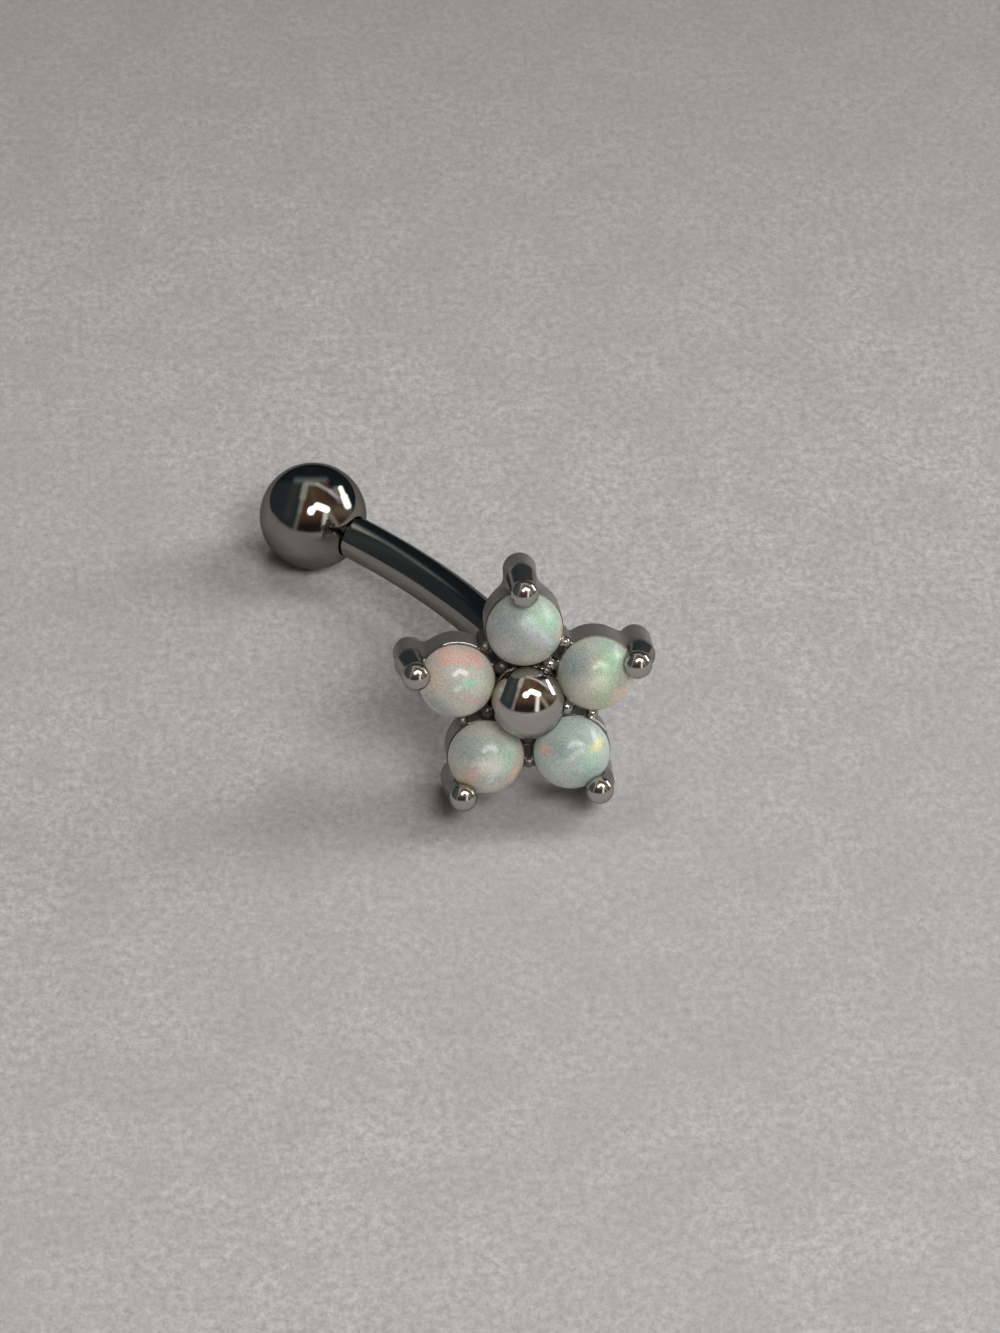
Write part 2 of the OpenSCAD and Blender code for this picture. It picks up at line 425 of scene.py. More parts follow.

# Each flash of colour: right, up, half length, half width, lean in degrees, colour, strength.
# Places are shares of the stone's radius as its face is seen. The white spots and the pale
# patches near the stones' middles are painted highlights, not flashes of colour.
FLASHES = {
    "opal_top": [
        (-0.45, 0.40, 0.70, 0.45, 20, SLATE, 0.50), (0.50, 0.36, 0.62, 0.40, -35, MINT, 0.85),
        (-0.60, -0.30, 0.55, 0.35, 60, LILAC, 0.40), (0.30, -0.12, 0.60, 0.13, -42, LILAC, 0.75),
        (0.50, -0.02, 0.46, 0.08, -50, SKY, 0.80), (0.00, -0.75, 0.70, 0.30, 0, CREAM, 0.55),
        (0.92, -0.05, 0.40, 0.13, 85, PEACH, 0.65), (0.05, 0.25, 0.42, 0.11, -25, SKY, 0.50)],
    "opal_right": [
        (-0.62, 0.42, 0.60, 0.38, 40, SLATE, 0.85), (0.16, 0.00, 0.95, 0.30, 84, GREEN, 0.90),
        (0.42, 0.38, 0.45, 0.28, 60, MINT, 0.75), (-0.35, -0.35, 0.60, 0.42, 0, CREAM, 0.60),
        (0.02, 0.06, 0.26, 0.09, 18, LEMON, 0.50), (0.58, -0.58, 0.45, 0.28, 40, PEACH, 0.90),
        (-0.10, -0.78, 0.50, 0.20, 0, PEACH, 0.40), (0.30, 0.84, 0.45, 0.16, -10, TEAL, 0.65),
        # Painted highlight below: a soft pale patch in the stone's middle
        (0.00, 0.02, 0.42, 0.34, 0, PAINTED_HIGHLIGHT, 0.75)],
    "opal_lower_right": [
        (-0.10, 0.48, 0.70, 0.34, 18, SLATE, 0.65), (0.48, 0.12, 0.50, 0.35, 60, MINT, 0.50),
        (0.40, -0.45, 0.60, 0.38, 0, TEAL, 0.50), (-0.50, -0.45, 0.60, 0.40, 0, CREAM, 0.35),
        (0.64, 0.34, 0.27, 0.16, 24, LEMON, 1.00), (-0.76, 0.27, 0.19, 0.13, 10, SALMON, 1.00),
        # The white streak first on the next line is a painted highlight
        (0.05, 0.17, 0.34, 0.10, 25, WHITE, 0.55), (-0.10, -0.10, 0.50, 0.14, -30, SKY, 0.40)],
    "opal_lower_left": [
        (-0.30, 0.45, 0.70, 0.34, 10, TEAL, 0.50), (0.45, 0.15, 0.55, 0.36, 80, MINT, 0.75),
        (-0.36, -0.22, 0.62, 0.19, 42, PINK, 1.00), (0.12, -0.30, 0.42, 0.13, 65, SKY, 0.75),
        (0.76, -0.36, 0.52, 0.17, 68, PEACH, 0.95), (-0.72, -0.45, 0.24, 0.16, -40, LEMON, 0.55),
        # The white spot first on the next line and the pale patch after it are painted highlights
        (-0.03, 0.05, 0.18, 0.11, 10, WHITE, 0.85), (0.05, -0.75, 0.50, 0.20, 0, CREAM, 0.45),
        (0.02, 0.02, 0.42, 0.32, 0, PAINTED_HIGHLIGHT, 0.85)],
    "opal_left": [
        (0.05, 0.82, 0.80, 0.16, -8, SALMON, 0.75), (-0.34, 0.67, 0.20, 0.13, 20, SALMON, 1.00),
        (0.50, 0.64, 0.28, 0.12, -32, SALMON, 0.85), (-0.65, 0.22, 0.45, 0.25, 80, PEACH, 0.60),
        (-0.55, -0.50, 0.60, 0.30, -40, SLATE, 0.65), (0.20, -0.28, 0.60, 0.15, -25, PINK, 0.60),
        # The small white spot on the next line is a painted highlight
        (0.24, 0.12, 0.44, 0.15, 14, MINT, 1.00), (0.00, 0.03, 0.12, 0.09, 0, WHITE, 1.00),
        (0.84, -0.28, 0.40, 0.14, 75, LEMON, 0.55)],
}


def opal_finish(name, milk, flashes, dullness, centre):
    """Milky opal: soft flashes of colour inside, fine grain, glassy polish, painted highlights and
    painted glow.
    """
    def surface(bench):
        here = bench.place()
        bent = bench.vector("SUBTRACT", here, tuple(centre))
        for scale, reach in ((2.0, 0.34), (8.0, 0.14)):
            cloud = bench.noise(here, scale, 3.0, 0.6, "Color")
            drift = bench.vector("SUBTRACT", cloud, (0.5,) * 3)
            bent = bench.vector("MULTIPLY_ADD", drift, (reach,) * 3, bent)
        right = bench.dot(bent, tuple(RIGHT)) / STONE_R
        up = bench.dot(bent, tuple(UP)) / STONE_R
        glow = opaque(milk)
        for at_right, at_up, half_long, half_wide, lean, colour, strength in flashes:
            lean = math.radians(lean)
            along = (right - at_right) * math.cos(lean) + (up - at_up) * math.sin(lean)
            aside = (up - at_up) * math.cos(lean) - (right - at_right) * math.sin(lean)
            far = ((along / half_long) ** 2 + (aside / half_wide) ** 2).root()
            glow = bench.cover(glow, colour, far.step(1.4, 0.15) * strength)
        flecks = bench.make("ShaderNodeTexVoronoi", {"feature": "SMOOTH_F1"}, {
            "Vector": here, "Scale": 4.0, "Smoothness": 1.0}, "Color")
        hue = bench.make("ShaderNodeHueSaturation", {}, {"Color": flecks, "Saturation": 0.45,
                                                         "Value": 0.9})
        glow = bench.cover(glow, hue, 0.08)
        glow = bench.cover(glow, CREAM, bench.noise(here, 10.0, 4.0, 0.7).step(0.35, 0.7) * 0.2)
        grain = bench.noise(here, 21.0, 3.0, 0.7)
        glow = bench.cover(glow, SHADE, grain.step(0.56, 0.34) * 0.26)
        glow = bench.cover(glow, WHITE, grain.step(0.46, 0.68) * 0.28)
        # The faint emission is painted light: the stone glows in its own colours though it is no
        # lamp
        return bench.make("ShaderNodeBsdfPrincipled", {}, {
            "Base Color": glow, "Roughness": 0.4, "Subsurface Weight": 0.2,
            "Subsurface Radius": (0.5, 0.5, 0.5), "Subsurface Scale": 0.3 * MM,
            "Coat Weight": 1.0, "Coat Roughness": dullness, "Coat IOR": 1.5,
            "Specular IOR Level": 0.2, "Emission Color": glow, "Emission Strength": 0.16})
    return finish_of(name, surface)


PAPER_LOW = shown(161, 161, 161)
PAPER_HIGH = shown(231, 231, 231)
PAPER_FIBRE = shown(178, 176, 175)
PAPER_PATCH = shown(188, 184, 182)
# Painted shade for the far part of the paper
PAPER_FAR_PAINTED_SHADE = shown(155, 155, 153)


def paper_finish():
    """Plain pale paper with a fine tooth, soft uneven patches and painted shade far away."""
    def surface(bench):
        here = bench.vector("MULTIPLY", bench.place(), (1.0, 0.8, 1.0))
        tooth = bench.noise(here, 4.5, 5.0, 0.8)
        patches = bench.noise(here, 0.05, 4.0, 0.55)
        fibres = bench.noise(here, 0.5, 4.0, 0.7)
        tone = bench.cover(PAPER_LOW, PAPER_HIGH, tooth.step(0.2, 0.8))
        tone = bench.cover(tone, PAPER_FIBRE, fibres.step(0.35, 0.65) * 0.38)
        tone = bench.cover(tone, PAPER_PATCH, patches.step(0.35, 0.7) * 0.4)
        # Painted shade: the paper is made darker towards the back, where less light falls
        tone = bench.cover(tone, PAPER_FAR_PAINTED_SHADE, bench.parts(here)[1].step(5.0, 48.0))
        return bench.make("ShaderNodeBsdfPrincipled", {}, {
            "Base Color": tone, "Roughness": 0.85, "Specular IOR Level": 0.2,
            "Normal": bench.bump(tooth, 0.4, 0.06)})
    return finish_of("pale_paper", surface)


# Meshes

def piece(name, points, faces, material, normals=None):
    """An object from points in the frame's axes, in millimetres.

    A corner that a face names twice counts once.
    """
    mesh = bpy.data.meshes.new(name)
    faces = [list(dict.fromkeys(map(int, face))) for face in faces]
    mesh.from_pydata((np.asarray(points) * MM).tolist(), [], faces)
    mesh.validate()
    mesh.shade_smooth()
    if normals is not None:
        mesh.normals_split_custom_set_from_vertices(normals.tolist())
    mesh.materials.append(material)
    thing = bpy.data.objects.new(name, mesh)
    bpy.context.scene.collection.objects.link(thing)
    return thing


def laid(points, axes, origin=(0, 0, 0)):
    """Points or directions in a piece's own axes, turned and moved into the frame's."""
    return np.asarray(points, float) @ np.asarray(axes) + origin


def ramp(value, start, end):
    """0 at the start and 1 at the end, held beyond them."""
    return np.clip((value - start) / (end - start), 0, 1)


def grid_faces(rows, columns, closed=True):
    """Faces between neighbouring rings of points, which close on themselves or not."""
    faces = []
    for row in range(rows - 1):
        for column in range(columns if closed else columns - 1):
            after = (column + 1) % columns
            faces.append((row * columns + column, row * columns + after,
                          (row + 1) * columns + after, (row + 1) * columns + column))
    return faces


def soften(corners, steps=5):
    """A profile with each corner (out, height, round) rounded off by its own amount."""
    line = []
    for number, (out, height, rounding) in enumerate(corners):
        here = np.array([out, height], float)
        if not rounding or number in (0, len(corners) - 1):
            line.append(here)
            continue
        before = unit(np.array(corners[number - 1][:2]) - here) * rounding
        after = unit(np.array(corners[number + 1][:2]) - here) * rounding
        for share in np.linspace(0, 1, steps):
            line.append(here + before * (1 - share) ** 2 + after * share ** 2)
    return line


def arc(middle, radius, start, end, steps):
    """Points of a profile along an arc, as (out, height, no rounding)."""
    return [(radius * math.cos(a), middle + radius * math.sin(a), 0)
            for a in np.linspace(start, end, steps)]


def turned(profile, sides):
    """Points and faces of a profile turned round its axis. Its two ends lie on the axis."""
    inner = profile[1:-1]
    points = [(0, 0, profile[0][1])]
    for out, height in inner:
        for side in range(sides):
            angle = 2 * math.pi * side / sides
            points.append((out * math.cos(angle), out * math.sin(angle), height))
    points.append((0, 0, profile[-1][1]))
    faces = [tuple(index + 1 for index in face) for face in grid_faces(len(inner), sides)]
    last = len(points) - 1
    for side in range(sides):
        after = (side + 1) % sides
        faces.append((0, 1 + after, 1 + side))
        faces.append((last, last - sides + side, last - sides + after))
    return points, faces


def axes_along(way):
    """Three axes, the last along a direction."""
    aside = unit(np.cross(way, (0, 0, 1)))
    return np.array([aside, np.cross(way, aside), way])


# The flower's metal, as a distance to its surface

# Lips of metal rubbed bright over a rim: the stone's number, and the start and end in degrees.
LIPS = [(4, 55, 112), (2, 26, 64)]

# Notches whose small posts the polish has reached, and those where it has not, whose posts get
# painted shade.
BRIGHT_NOTCHES = (0.5, 1.5)
DULL_SHADED_NOTCHES = (2.5, 3.5, 4.5)


def melt(one, other, reach):
    """The nearer of two surfaces, run together where they meet as solder does."""
    share = np.clip(0.5 + 0.5 * (other - one) / reach, 0, 1)
    return other + (one - other) * share - reach * share * (1 - share)


def to_ring(out, height, low_out, high_out, low_height, high_height):
    """Distance to a ring with a rectangular section."""
    across = np.abs(out - (low_out + high_out) / 2) - (high_out - low_out) / 2
    upwards = np.abs(height - (low_height + high_height) / 2) - (high_height - low_height) / 2
    outside = np.hypot(np.maximum(across, 0), np.maximum(upwards, 0))
    return outside + np.minimum(np.maximum(across, upwards), 0)


def to_tapered_wire(points, start, end, start_r, end_r):
    """Distance to a round wire that tapers between two points."""
    line = end - start
    share = np.clip((points - start) @ line / (line @ line), 0, 1)
    away = np.linalg.norm(points - start - share[:, None] * line, axis=1)
    return away - (start_r + (end_r - start_r) * share)


def to_ball(points, middle, radius):
    """Distance to a ball."""
    return np.linalg.norm(points - middle, axis=1) - radius


def to_pressed_ball(points, middle, radius, flatness):
    """Distance to a ball whose front half is pressed a little flat."""
    from_middle = points - middle
    ahead = from_middle[:, 2]
    from_middle[:, 2] = np.where(ahead > 0, ahead / flatness, ahead)
    return np.linalg.norm(from_middle, axis=1) - radius


def to_bead(points):
    """Distance to the polished bead in the flower's middle."""
    return to_pressed_ball(points, np.array([0, 0, BEAD_RISE]), BEAD_R, BEAD_FLATNESS)


def to_cup(points, place):
    """Distance to one cup: its wall, its ledge and its rounded rim."""
    middle = spoke(place, RING_R)
    out = np.hypot(points[:, 0] - middle[0], points[:, 1] - middle[1])
    height = points[:, 2]
    ledge_top = -STONE_DEPTH - STONE_GAP
    ledge_low = ledge_top - LEDGE_THICKNESS
    wall = to_ring(out, height, POCKET_R, POCKET_R + CUP_WALL, -CUP_DEPTH, CUP_RIM)
    skirt = to_ring(out, height, GALLERY_R, POCKET_R + CUP_WALL, -CUP_DEPTH, ledge_low)
    ledge = to_ring(out, height, LEDGE_R, POCKET_R + CUP_WALL / 2, ledge_low, ledge_top)
    rim = np.hypot(out - POCKET_R - CUP_WALL / 2, height - CUP_RIM) - RIM_R
    return melt(np.minimum(np.minimum(wall, skirt), ledge), rim, RIM_MELT)


def to_prong(points, place):
    """Distance to one prong: its round back end, its wire bent at the shoulder, and its tip."""
    root = spoke(place, ROOT_OUT, -ROOT_DEPTH)
    shoulder = spoke(place, SHOULDER_OUT, -SHOULDER_DEPTHS[place])
    tip = spoke(place, TIP_OUT, TIP_HEIGHT)
    back = to_tapered_wire(points, root, shoulder, ROOT_R - WIRE_THINNING, SHOULDER_R)
    claw = to_tapered_wire(points, shoulder, tip - (0, 0, WIRE_SHORTENING), SHOULDER_R,
                           TIP_R - WIRE_THINNING)
    ends = np.minimum(to_ball(points, root, ROOT_R),
                      to_pressed_ball(points, tip, TIP_R, TIP_FLATNESS))
    return melt(np.minimum(back, claw), ends, TIP_MELT)


def to_lip(points, place, start, end):
    """Distance to a thin lip that stands on part of a cup's rim and fades at its two ends."""
    middle = spoke(place, RING_R)
    across, upwards = points[:, 0] - middle[0], points[:, 1] - middle[1]
    angle = np.degrees(np.arctan2(upwards, across))
    section = np.stack([np.hypot(across, upwards), points[:, 2]], 1)
    crest = np.array([LIP_RING_R, -LIP_DROP])
    foot = np.array([POCKET_R + CUP_WALL, CUP_RIM - LIP_FOOT_DROP])
    near = to_tapered_wire(section, crest, foot, LIP_R, LIP_R)
    there = (ramp(angle, start - LIP_FADE_OUTSIDE, start + LIP_FADE_INSIDE)
             * ramp(angle, end + LIP_FADE_OUTSIDE, end - LIP_FADE_INSIDE))
    return near + LIP_SINK * (1 - there)


def to_post(points, place, out, radius):
    """Distance to a small post in the notch between two cups."""
    foot = spoke(place, out, -CUP_DEPTH)
    head = spoke(place, out, -POST_DROP)
    return to_tapered_wire(points, foot, head, radius, radius + POST_SPREAD)


def to_middle(points):
    """Distance to the column, the bead in front of it and the collar behind it."""
    out = np.hypot(points[:, 0], points[:, 1])
    height = points[:, 2]
    column = to_ring(out, height, -COLUMN_R, COLUMN_R, -COLUMN_DEPTH, 0)
    slope = (COLUMN_R - COLLAR_END_R) / (COLLAR_DEPTH - COLUMN_DEPTH)
    edge = COLLAR_END_R + slope * (height + COLLAR_DEPTH)
    collar = np.maximum((out - edge) / math.hypot(1, slope),
                        np.maximum(-COLLAR_DEPTH - height, height + COLUMN_DEPTH))
    return np.minimum(np.minimum(column, collar), to_bead(points))


def to_pocket(points, place):
    """Distance to the hollow that one stone fills, with its gap below and beside it."""
    middle = spoke(place, RING_R)
    out = np.hypot(points[:, 0] - middle[0], points[:, 1] - middle[1])
    dome = to_ball(points, middle - (0, 0, SPREAD_DROP), SPREAD_DOME_R + STONE_GAP / 2)
    girdle = np.maximum(out - POCKET_R, -STONE_DEPTH - STONE_GAP - points[:, 2])
    spread = np.maximum(out - SPREAD_R - STONE_GAP, -SPREAD_EDGE - STONE_GAP - points[:, 2])
    return np.maximum(dome, np.minimum(girdle, spread))


def to_flower(points):
    """Distance to the flower's metal, negative inside it. Points are in the flower's frame."""
    count = len(STONE_NODES)
    near = to_middle(points)
    for place in range(count):
        near = melt(near, to_cup(points, place), CUP_MELT)
    solder = FACE_SOLDER + BACK_SOLDER * ramp(points[:, 2], SOLDER_FROM, SOLDER_TO)
    for place in range(count):
        near = melt(near, to_prong(points, place), solder)
        for out, radius in (INNER_POST, OUTER_POST):
            near = melt(near, to_post(points, place + 0.5, out, radius), POST_MELT)
    for place, start, end in LIPS:
        near = melt(near, to_lip(points, place, start, end), LIP_MELT)
    for place in range(count):
        near = -melt(-near, to_pocket(points, place), POCKET_MELT)
    return near


def slope_of(distance, points, reach=0.004):
    """The outward slope of a distance at some points."""
    slope = np.empty_like(points)
    for axis in range(3):
        step = np.zeros(3)
        step[axis] = reach
        slope[:, axis] = (distance(points + step) - distance(points - step)) / (2 * reach)
    return slope


# How the skin is worked out: in how many parts, how often its points are drawn to the surface,
# the least slopes that are divided by, and the reach within which two points are one.
BATCHES = 16
DRAWS = 3
LEAST_STEEP = 0.25
LEAST_SLOPE = 1e-6
JOIN_REACH = 0.001


def outer_skin(points, faces):
    """The largest shell alone, with points that fell together joined and folded faces dropped."""
    _, first, joined = np.unique(np.round(points / JOIN_REACH).astype(int), axis=0,
                                 return_index=True, return_inverse=True)
    faces = joined.ravel()[faces]
    folded = (faces[:, 0] == faces[:, 2]) | (faces[:, 1] == faces[:, 3])
    faces = faces[~folded]
    shell = np.arange(len(first))
    before = None
    while before is None or (shell != before).any():
        before = shell.copy()
        np.minimum.at(shell, faces, shell[faces].min(1)[:, None])
        shell = shell[shell]
    of_face = shell[faces[:, 0]]
    used, faces = np.unique(faces[of_face == np.bincount(of_face).argmax()], return_inverse=True)
    return points[first[used]], faces.reshape(-1, 4)


def skin(distance, low, high, step):
    """A closed skin of four-sided faces where a distance is zero, drawn onto that surface."""
    lines = [np.arange(a, b + step, step) for a, b in zip(low, high)]
    shape = [len(line) for line in lines]
    knots = np.stack(np.meshgrid(*lines, indexing="ij"), -1).reshape(-1, 3)
    depth = np.concatenate([distance(part) for part in np.array_split(knots, BATCHES)])
    depth = depth.reshape(shape)
    cell_size = np.array([shape[1] * shape[2], shape[2], 1])
    crossings, cells, faces = [], [], []
    for axis in range(3):
        near = np.take(depth, range(shape[axis] - 1), axis)
        far = np.take(depth, range(1, shape[axis]), axis)
        at = np.argwhere((near < 0) != (far < 0))
        start, end = near[tuple(at.T)], far[tuple(at.T)]
        ahead = np.eye(3)[axis]
        crossing = np.array(low) + step * (at + (start / (start - end))[:, None] * ahead)
        one, two = np.eye(3, dtype=int)[(axis + 1) % 3], np.eye(3, dtype=int)[(axis + 2) % 3]
        around = np.stack([(at - shift) @ cell_size for shift in (0 * one, one, one + two, two)], 1)
        crossings.append(np.repeat(crossing, 4, 0))
        cells.append(around.ravel())
        faces.append(np.where((start < 0)[:, None], around, around[:, ::-1]))
    used, index = np.unique(np.concatenate(cells), return_inverse=True)
    shares = np.bincount(index)
    crossings = np.concatenate(crossings)
    points = np.stack([np.bincount(index, crossings[:, a]) / shares for a in range(3)], 1)
    faces = np.searchsorted(used, np.concatenate(faces))
    for _ in range(DRAWS):
        slope = slope_of(distance, points)
        steep = np.maximum((slope ** 2).sum(1), LEAST_STEEP)
        shift = distance(points) / steep
        points = points - slope * np.clip(shift, -step / 2, step / 2)[:, None]
    points, faces = outer_skin(points, faces)
    slope = slope_of(distance, points)
    return points, faces, slope / np.maximum(np.linalg.norm(slope, axis=1), LEAST_SLOPE)[:, None]


# Pieces

# The grid that the flower's skin is drawn on: its step, and the room round the metal.
FLOWER_STEP = 0.045
FLOWER_MARGIN = 0.1


def make_flower(material):
    """The cast metal of the flower, soldered into one, with its polish and its painted shade as
    masks.

    Each mask is 1 on a part's own skin and fades a few hundredths of a millimetre from it.
    """
    reach = ROOT_OUT + ROOT_R + FLOWER_MARGIN
    low = (-reach, -reach, -ROOT_DEPTH - ROOT_R - FLOWER_MARGIN)
    high = (reach, reach, BEAD_RISE + BEAD_R + FLOWER_MARGIN)
    points, faces, normals = skin(to_flower, low, high, FLOWER_STEP)
    flower = piece("flower", laid(points, FLOWER_AXES, MIDDLE), faces, material,
                   laid(normals, FLOWER_AXES))
    height = points[:, 2]
    claws = np.max([ramp(to_prong(points, place), 0.06, 0.01) * ramp(height + depth, -0.34, 0.02)
                    for place, depth in enumerate(SHOULDER_DEPTHS)], axis=0)
    bead = ramp(to_bead(points), 0.05, 0.01)
    polish = np.maximum(np.maximum(claws * 0.8, bead), ramp(height, -0.12, 0.02) * 0.15)
    pockets = np.min([to_pocket(points, place) for place in range(len(STONE_NODES))], axis=0)
    # Painted shade: darker metal close to the stones' pockets, less of it on the claws
    painted_gap_shade = ramp(pockets, 0.07, 0.03) * 0.75 * (1 - claws * 0.7)
    for place in BRIGHT_NOTCHES:
        for post in (INNER_POST, OUTER_POST):
            head = ramp(to_post(points, place, *post), 0.06, 0.02) * ramp(height, -0.3, -0.15)
            polish = np.maximum(polish, head * 0.85)
            painted_gap_shade = painted_gap_shade * (1 - head)
    # Painted shade on the posts of the dull notches, for the dark slots between the cups
    for place in DULL_SHADED_NOTCHES:
        painted_gap_shade = np.maximum(painted_gap_shade, ramp(to_post(points, place, *INNER_POST), 0.09, 0.03) * 0.9)
        painted_gap_shade = np.maximum(painted_gap_shade, ramp(to_post(points, place, *OUTER_POST), 0.05, 0.01) * 0.7)
    painted_gap_shade = painted_gap_shade * (1 - bead)
    for lip in LIPS:
        rubbed = ramp(to_lip(points, *lip), 0.03, 0.01) * ramp(height, -0.13, -0.07)
        polish = np.maximum(polish, rubbed * 0.6)
        painted_gap_shade = painted_gap_shade * (1 - rubbed)
    for name, values in (("polish", polish), ("painted_gap_shade", painted_gap_shade)):
        layer = flower.data.attributes.new(name, "FLOAT", "POINT")
        layer.data.foreach_set("value", values.astype(np.float32))
    return flower


def make_bar(material):
    """The bent bar, from inside the collar to its rounded edge at the ball."""
    sides, rings = 72, 120
    points = []
    stops = [(turn, BAR_R) for turn in np.linspace(-0.01, BAR_BEND - BAR_EDGE / BEND_R, rings)]
    for share in np.linspace(0.25, 1, 4):
        lean = share * math.pi / 2
        inset = BAR_EDGE * (1 - math.sin(lean))
        stops.append((BAR_BEND - inset / BEND_R, BAR_R - BAR_EDGE * (1 - math.cos(lean))))
    stops.append((BAR_BEND, SCREW_ROOT_R))
    for turn, radius in stops:
        middle, way = bar_point(turn)
        aside = np.cross(way, BEND_AXIS)
        for side in range(sides):
            angle = 2 * math.pi * side / sides
            points.append(middle + radius * (math.cos(angle) * BEND_AXIS + math.sin(angle) * aside))
    faces = grid_faces(len(stops), sides)
    faces.append(tuple(reversed(range(sides))))
    faces.append(tuple(range((len(stops) - 1) * sides, len(stops) * sides)))
    return piece("bar", points, faces, material)


def make_screw(material):
    """The screw, with a true helical ridge that fades at both ends."""
    sides, rings = 60, 220
    points = []
    for height in np.linspace(-SCREW_ROOT, SCREW_LENGTH, rings):
        run_in = max(0, (height - THREAD_START) / THREAD_RUN_IN)
        run_out = max(0, (SCREW_LENGTH - SCREW_POINT - height) / THREAD_RUN_OUT)
        fade = min(1, run_in, run_out)
        lead = min(SCREW_POINT, max(0, height - SCREW_LENGTH + SCREW_POINT))
        for side in range(sides):
            angle = 2 * math.pi * side / sides
            phase = (height / SCREW_PITCH - side / sides) % 1
            ridge = min(1, max(0, (0.5 - abs(phase - 0.5)) / THREAD_FLANK - THREAD_FLOOR))
            out = SCREW_CORE_R - lead + (SCREW_R - SCREW_CORE_R) * ridge * fade
            points.append((out * math.cos(angle), out * math.sin(angle), height))
    faces = grid_faces(rings, sides)
    faces.append(tuple(reversed(range(sides))))
    faces.append(tuple(range((rings - 1) * sides, rings * sides)))
    return piece("screw", laid(points, axes_along(SCREW_WAY), BAR_END), faces, material)


def make_ball(material):
    """The ball, with its flat, its softened hole edge and the thread cut inside."""
    grooves = []
    for number in range(GROOVES):
        height = GROOVE_MIDDLE + SCREW_PITCH * number
        grooves += [(BALL_HOLE_R, height + GROOVE_HALF, 0),
                    (BALL_HOLE_R + GROOVE_DEPTH, height, 0),
                    (BALL_HOLE_R, height - GROOVE_HALF, 0)]
    grooves.sort(key=lambda corner: -corner[1])
    start = math.asin(-BALL_FLAT_DEPTH / BALL_R)
    corners = [(0, BALL_HOLE_DEPTH + DRILL_POINT, 0),
               (BALL_HOLE_R, BALL_HOLE_DEPTH - DRILL_SHOULDER, 0.03), *grooves,
               (BALL_HOLE_R, 0.0, HOLE_EDGE), (BALL_FLAT_R, 0.0, HOLE_EDGE),
               *arc(BALL_FLAT_DEPTH, BALL_R, start + 0.02, math.pi / 2 - 0.02, 90),
               (0, BALL_FLAT_DEPTH + BALL_R, 0)]
    points, faces = turned(soften(corners), 144)
    points = laid(points, axes_along(SCREW_WAY), BAR_END + SCREW_WAY * SEAM_GAP)
    return piece("ball", points, faces, material)


def make_opal(node, centre, material):
    """One opal: a dome that spreads over its cup's rim, and a narrower flat back inside it."""
    side = math.asin(SPREAD_DROP / SPREAD_DOME_R)
    corners = [(0, -STONE_DEPTH, 0), (GIRDLE_R, -STONE_DEPTH, 0.05),
               (GIRDLE_R, -SPREAD_EDGE, 0.01), (SPREAD_R, -SPREAD_EDGE, 0.03),
               *arc(-SPREAD_DROP, SPREAD_DOME_R, side + 0.02, math.pi / 2 - 0.02, 48),
               (0, DOME_HEIGHT, 0)]
    points, faces = turned(soften(corners), 96)
    points = laid(points, FLOWER_AXES, centre)
    return piece(node.replace("opal", "stone"), points, faces, material)


steel = steel_finish("polished_steel")
cast = cast_finish("cast_steel")

for metal in (make_flower(cast), make_bar(steel), make_screw(steel)):
    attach(metal, "barbell")
    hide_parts("flower_barbell")

ball = make_ball(steel)
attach(ball, "ball")
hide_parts("screw_ball")

for number, node in enumerate(STONE_NODES):
    centre = laid(spoke(number, RING_R), FLOWER_AXES, MIDDLE)
    finish = opal_finish(node, MILKS[node], FLASHES[node], DULLNESS[node], centre)
    stone = make_opal(node, centre, finish)
    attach(stone, "barbell")
    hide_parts(node)


# Paper, lights and camera

def view_axes():
    """The camera's right, up and back directions."""
    back = np.array([math.sin(VIEW_AZIMUTH) * math.cos(VIEW_ELEVATION),
                     -math.cos(VIEW_AZIMUTH) * math.cos(VIEW_ELEVATION),
                     math.sin(VIEW_ELEVATION)])
    level = np.array([math.cos(VIEW_AZIMUTH), math.sin(VIEW_AZIMUTH), 0])
    right = level * math.cos(VIEW_ROLL) + np.cross(back, level) * math.sin(VIEW_ROLL)
    return np.array([right, np.cross(back, right), back])


VIEW = view_axes()


def make_camera():
    """The camera, where the photograph was taken from."""
    camera = bpy.data.objects.new("camera", bpy.data.cameras.new("camera"))
    bpy.context.scene.collection.objects.link(camera)
    turn = Matrix([list(row) for row in VIEW.T]).to_4x4()
    place = np.array(VIEW_AIM) + VIEW[2] * VIEW_DISTANCE
    camera.matrix_world = Matrix.Translation(Vector(place * MM)) @ turn
    camera.data.lens = VIEW_LENS
    camera.data.clip_start = 0.01
    bpy.context.scene.camera = camera


def make_paper():
    """A sheet far wider than the view, whose far edge lies a little beyond it."""
    nearer = [-line for line in reversed(SHEET_LINES)]
    across, away = [*nearer, *SHEET_LINES], [*nearer, 0, SHEET_EDGE]
    points = [(x, y, 0) for y in away for x in across]
    faces = grid_faces(len(away), len(across), closed=False)
    paper = piece("paper", points, faces, paper_finish())


